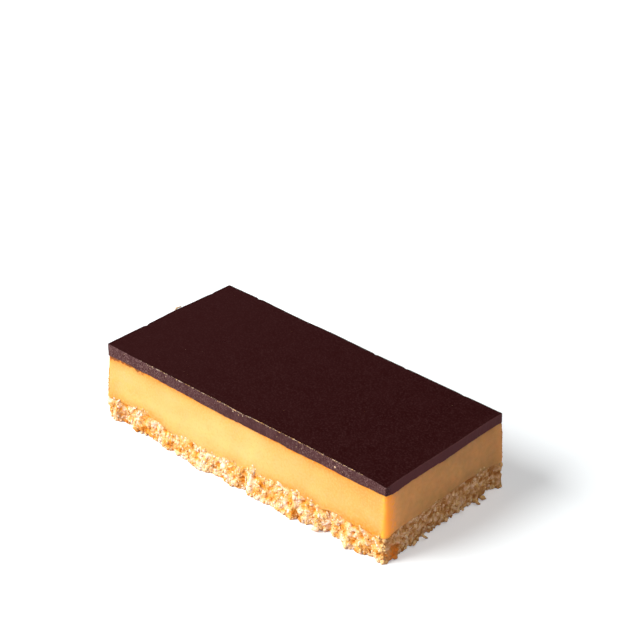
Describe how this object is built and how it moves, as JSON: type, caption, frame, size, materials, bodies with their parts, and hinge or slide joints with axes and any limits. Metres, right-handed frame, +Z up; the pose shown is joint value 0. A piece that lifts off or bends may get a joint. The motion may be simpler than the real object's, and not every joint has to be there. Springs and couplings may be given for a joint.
{
  "type": "caramel slice",
  "caption": "Rectangular finger of caramel slice: pressed crumb base, thick set caramel and a thin dark chocolate top, cut square.",
  "frame": {"origin": "middle of the slice's box, on the flat underside that it rests on", "axes": "+Z up through the layers, X along the finger's length, Y across it; the short end seen in the picture is at +X and the lit long side at -Y"},
  "size_m": [0.1068, 0.0498, 0.0246],
  "materials": {
    "crumb": "baked biscuit and coconut crumb pressed together, rough and dry, cream to honey brown",
    "caramel": "set caramel cut with a knife, smooth, softly translucent, pale golden yellow",
    "chocolate": "dark chocolate, satin top face, duller and greyer on the cut sides"
  },
  "bodies": {
    "root": {"biscuit_base": "crumb", "caramel_layer": "caramel", "chocolate_layer": "chocolate"}
  },
  "joints": []
}
